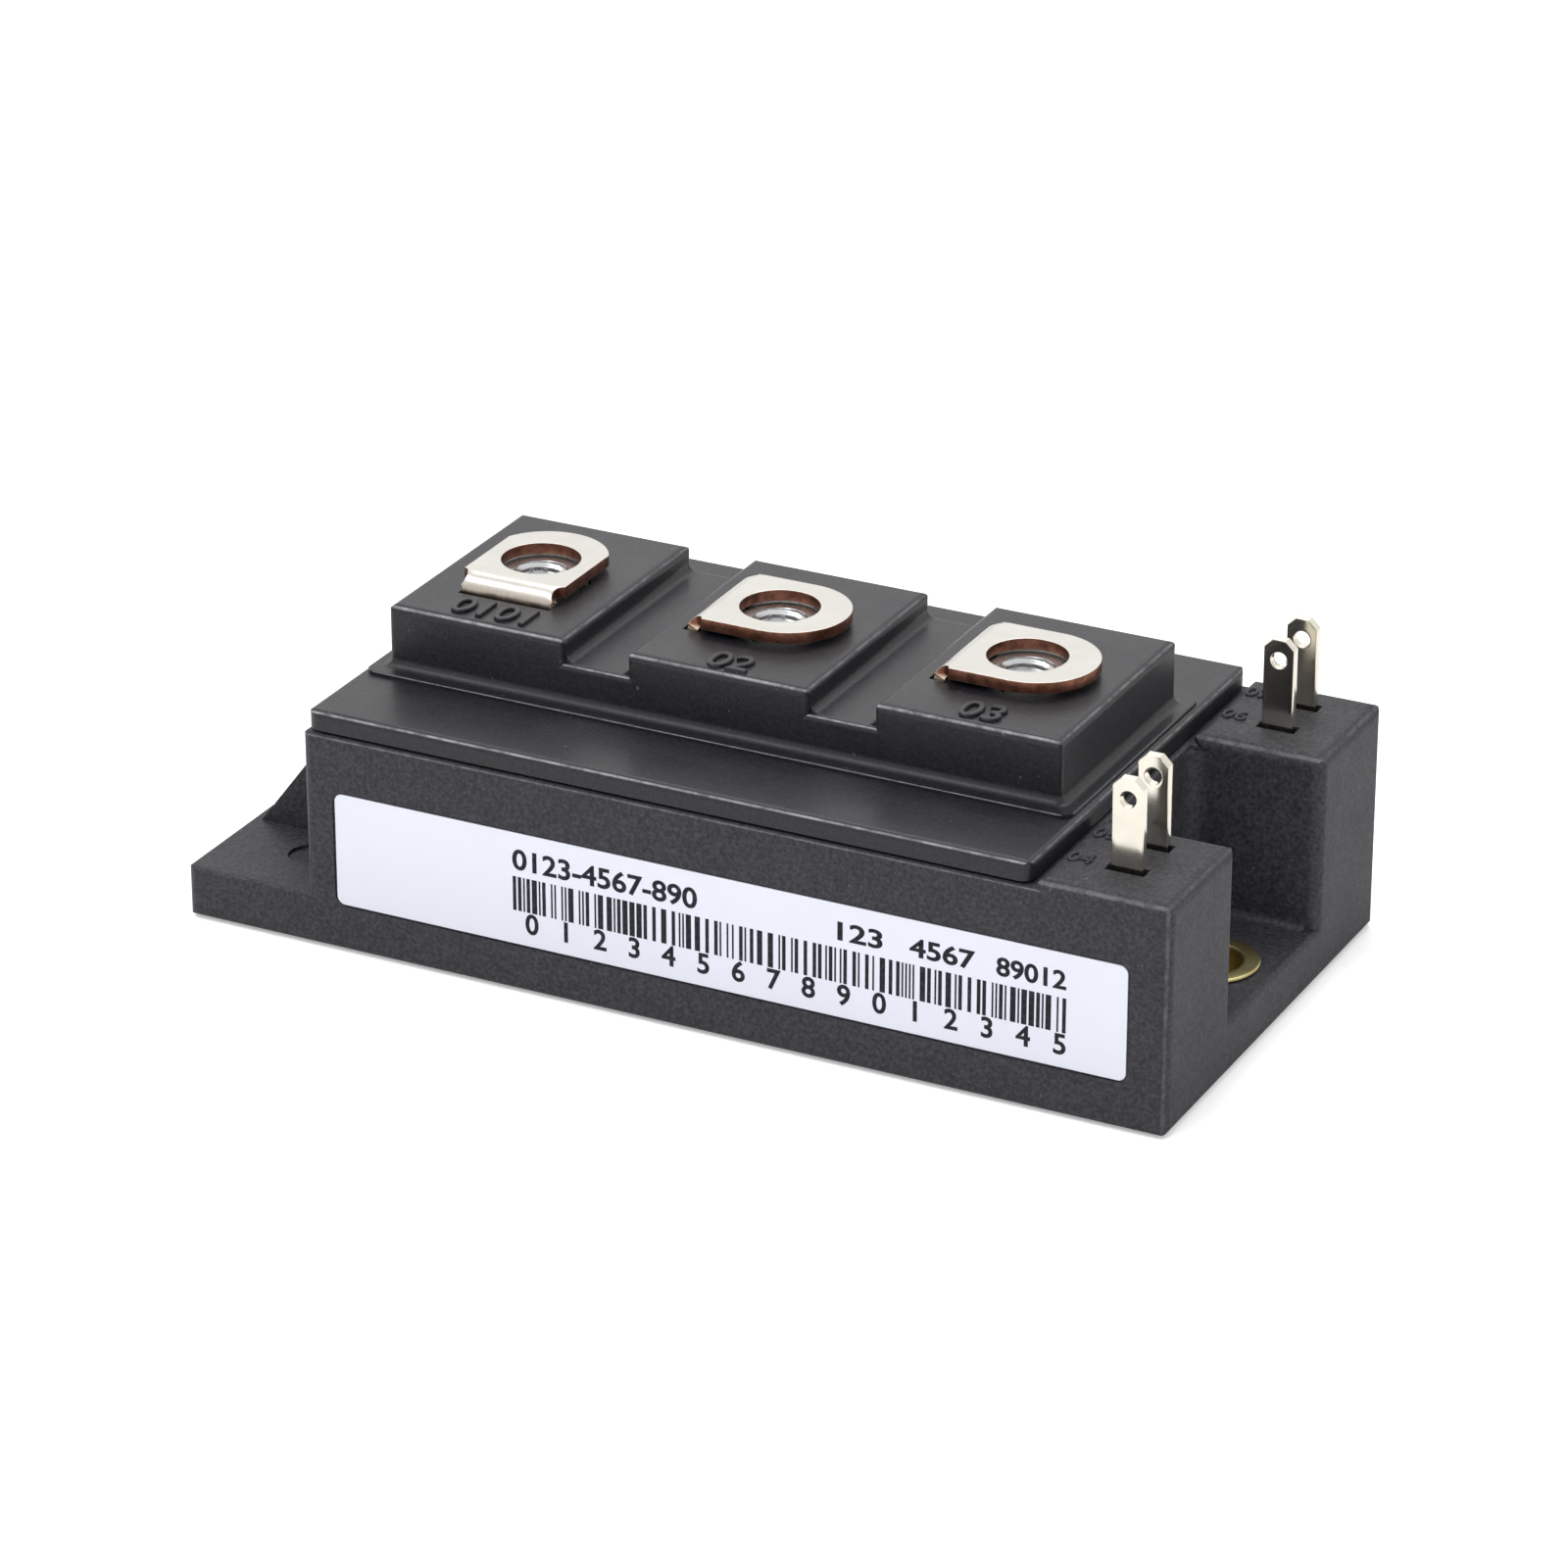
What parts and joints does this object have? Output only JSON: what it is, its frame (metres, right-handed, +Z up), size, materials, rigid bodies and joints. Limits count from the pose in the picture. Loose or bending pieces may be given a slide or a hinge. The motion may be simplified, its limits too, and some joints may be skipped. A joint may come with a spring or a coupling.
{
  "type": "igbt module",
  "caption": "Low rectangular power transistor module: moulded case on a base plate with end mounting holes, stepped cover with screw terminals in a row, push-on signal tabs on end towers.",
  "frame": {"origin": "middle of the base plate's underside", "axes": "+X along the module towards the signal towers, +Y to the back, +Z up out of the base plate"},
  "size_m": [0.092, 0.045, 0.0295],
  "materials": {
    "nickel_copper": "satin nickel plate over copper",
    "case_plastic": "fine moulded grain",
    "cover_plastic": "satin moulded",
    "eyelet_steel": "yellow passivated",
    "terminal_metal": "bright nickel plate over copper",
    "nut_steel": "bright zinc plate",
    "signal_metal": "bright tin plate",
    "bare_copper": "bare copper",
    "ceramic": "white fired ceramic",
    "chip": "metallised silicon",
    "bond_wire": "drawn aluminium",
    "silicone_gel": "clear soft gel",
    "label_film": "printed film"
  },
  "bodies": {
    "root": {"base_plate": "nickel_copper", "case_frame": "case_plastic", "cover": "cover_plastic", "eyelet_left": "eyelet_steel", "eyelet_right": "eyelet_steel", "terminal_1": "terminal_metal", "terminal_2": "terminal_metal", "terminal_3": "terminal_metal", "nut_1": "nut_steel", "nut_2": "nut_steel", "nut_3": "nut_steel", "signal_tab_4": "signal_metal", "signal_tab_5": "signal_metal", "signal_tab_6": "signal_metal", "signal_tab_7": "signal_metal", "back_foil_left": "bare_copper", "back_foil_right": "bare_copper", "ceramic_left": "ceramic", "ceramic_right": "ceramic", "tracks_left": "bare_copper", "tracks_right": "bare_copper", "igbt_1": "chip", "igbt_2": "chip", "igbt_3": "chip", "igbt_4": "chip", "diode_1": "chip", "diode_2": "chip", "diode_3": "chip", "diode_4": "chip", "link_strap": "bare_copper", "power_wires_left": "bond_wire", "power_wires_right": "bond_wire", "gate_wires_left": "bond_wire", "gate_wires_right": "bond_wire", "link_wires": "bond_wire", "gel": "silicone_gel", "label": "label_film"}
  },
  "joints": []
}
